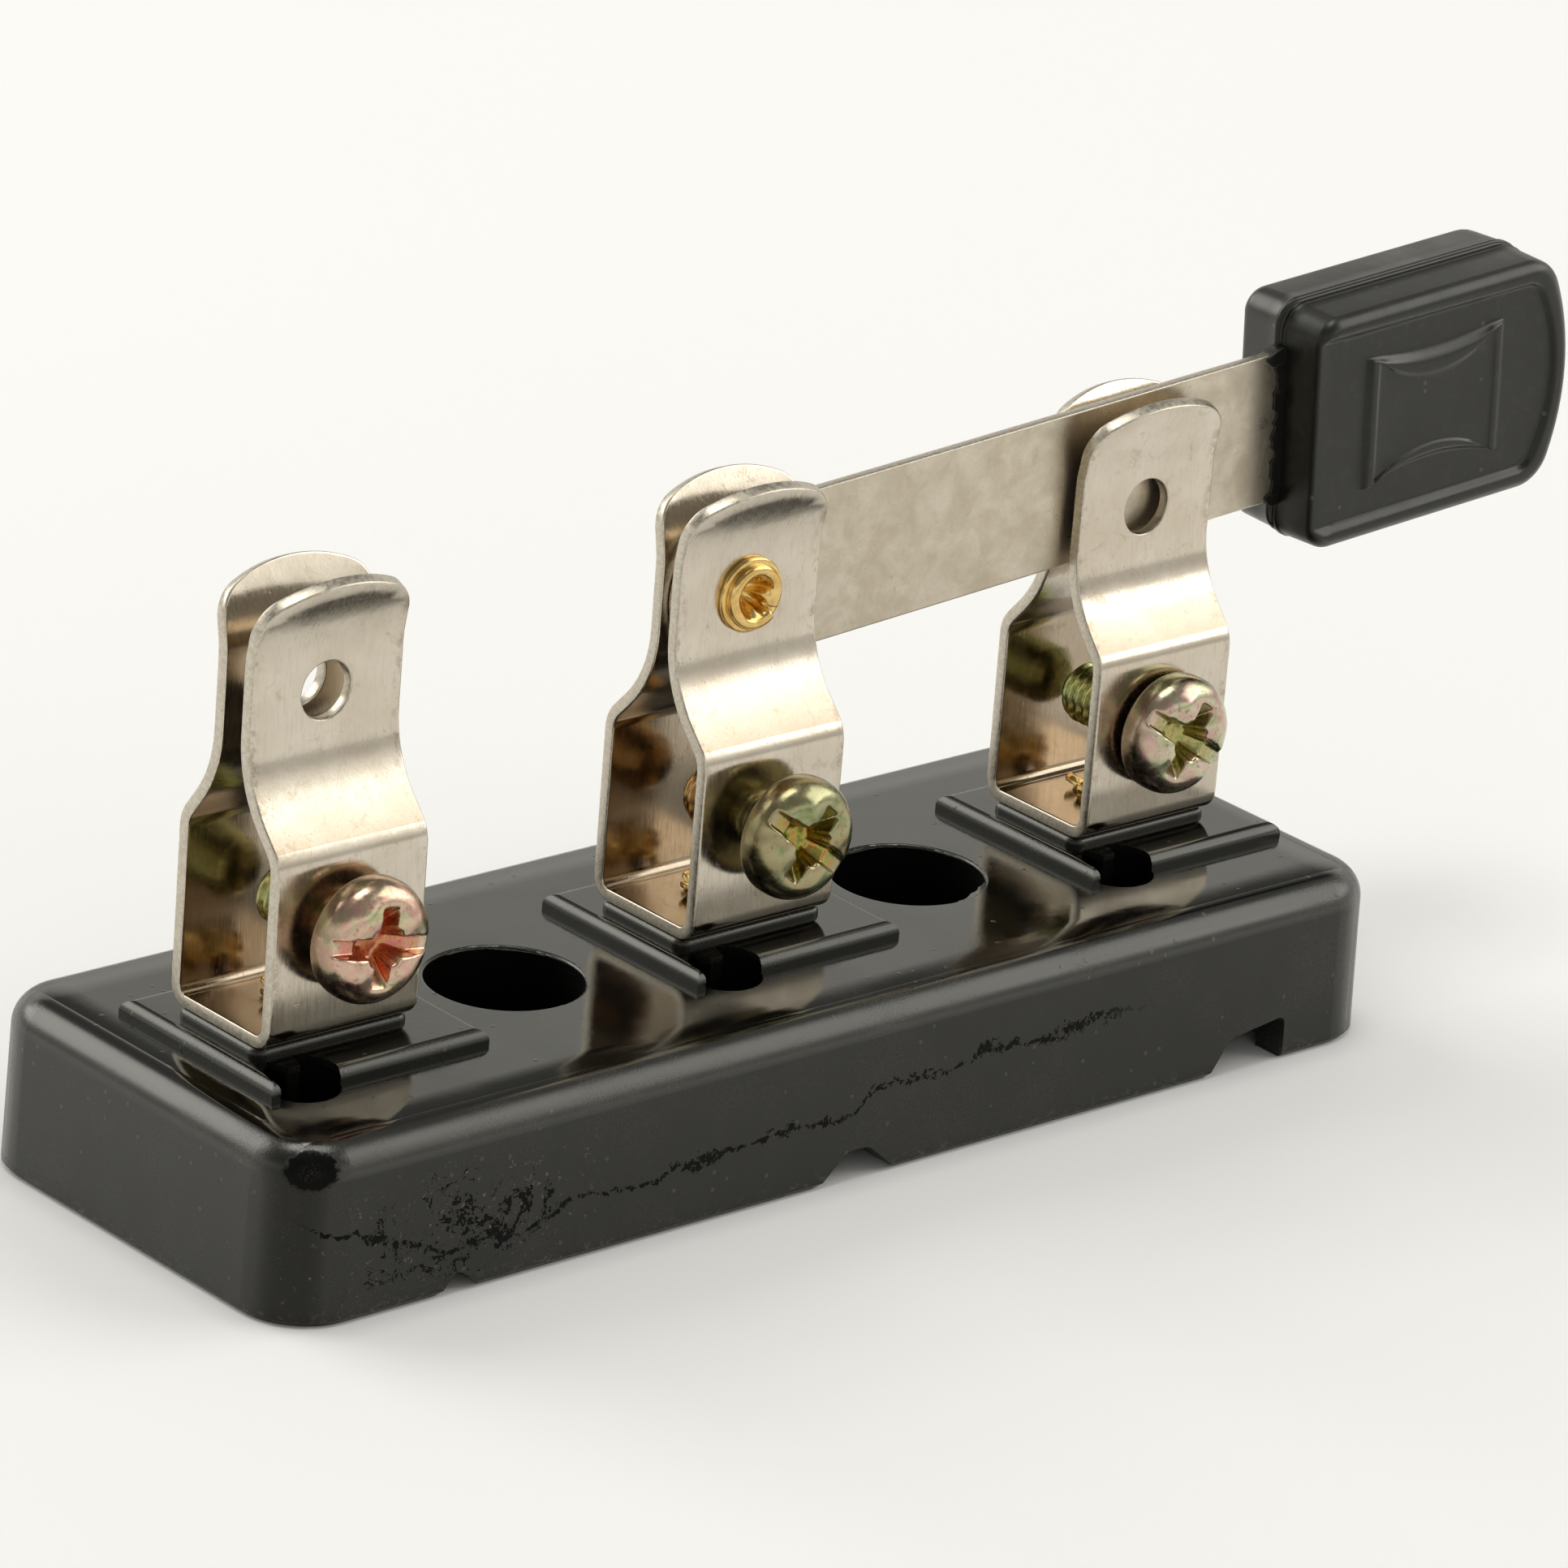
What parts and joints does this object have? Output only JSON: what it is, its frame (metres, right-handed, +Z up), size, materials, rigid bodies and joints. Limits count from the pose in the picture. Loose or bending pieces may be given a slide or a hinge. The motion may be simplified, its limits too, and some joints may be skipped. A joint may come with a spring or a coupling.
{
  "type": "knife blade switch",
  "caption": "Open knife switch: a handled blade pinned in the centre clip of a hollow black base swings between two outer spring clips with screw terminals.",
  "frame": {"origin": "centre of the base's underside, midway between the two mounting holes", "axes": "+X along the base to the right clip and the handle, +Y to the back, +Z up; the blade swings in the XZ plane"},
  "size_m": [0.1103, 0.0304, 0.0449],
  "materials": {
    "base_plastic": "glossy black phenolic moulding, scuffed walls",
    "handle_plastic": "satin black phenolic moulding",
    "clip_nickel": "warm bright nickel plate with fine upright brushing",
    "blade_nickel": "satin warm nickel plate, mottled",
    "zinc_screw": "iridescent yellow zinc plate",
    "rivet_brass": "bright brass"
  },
  "bodies": {
    "switch_base": {"base": "base_plastic", "clip_left": "clip_nickel", "clip_center": "clip_nickel", "clip_right": "clip_nickel", "clip_rivet_left": "rivet_brass", "clip_rivet_center": "rivet_brass", "clip_rivet_right": "rivet_brass", "pivot_rivet": "rivet_brass"},
    "blade_arm": {"blade": "blade_nickel", "handle": "handle_plastic"},
    "screw_left": {"terminal_screw_left": "zinc_screw"},
    "screw_center": {"terminal_screw_center": "zinc_screw"},
    "screw_right": {"terminal_screw_right": "zinc_screw"}
  },
  "joints": [
    {"name": "blade_swing", "type": "hinge", "parent": "switch_base", "child": "blade_arm", "pos_m": [0, 0, 0.0328], "axis": [0, -1, 0], "range_deg": [-3.6, 176.4]},
    {"name": "screw_left_travel", "type": "slide", "parent": "switch_base", "child": "screw_left", "axis": [0, -1, 0], "range_m": [-0.0009, 0.00255]},
    {"name": "screw_center_travel", "type": "slide", "parent": "switch_base", "child": "screw_center", "axis": [0, -1, 0], "range_m": [-0.00145, 0.002]},
    {"name": "screw_right_travel", "type": "slide", "parent": "switch_base", "child": "screw_right", "axis": [0, -1, 0], "range_m": [-0.0003, 0.00315]}
  ]
}
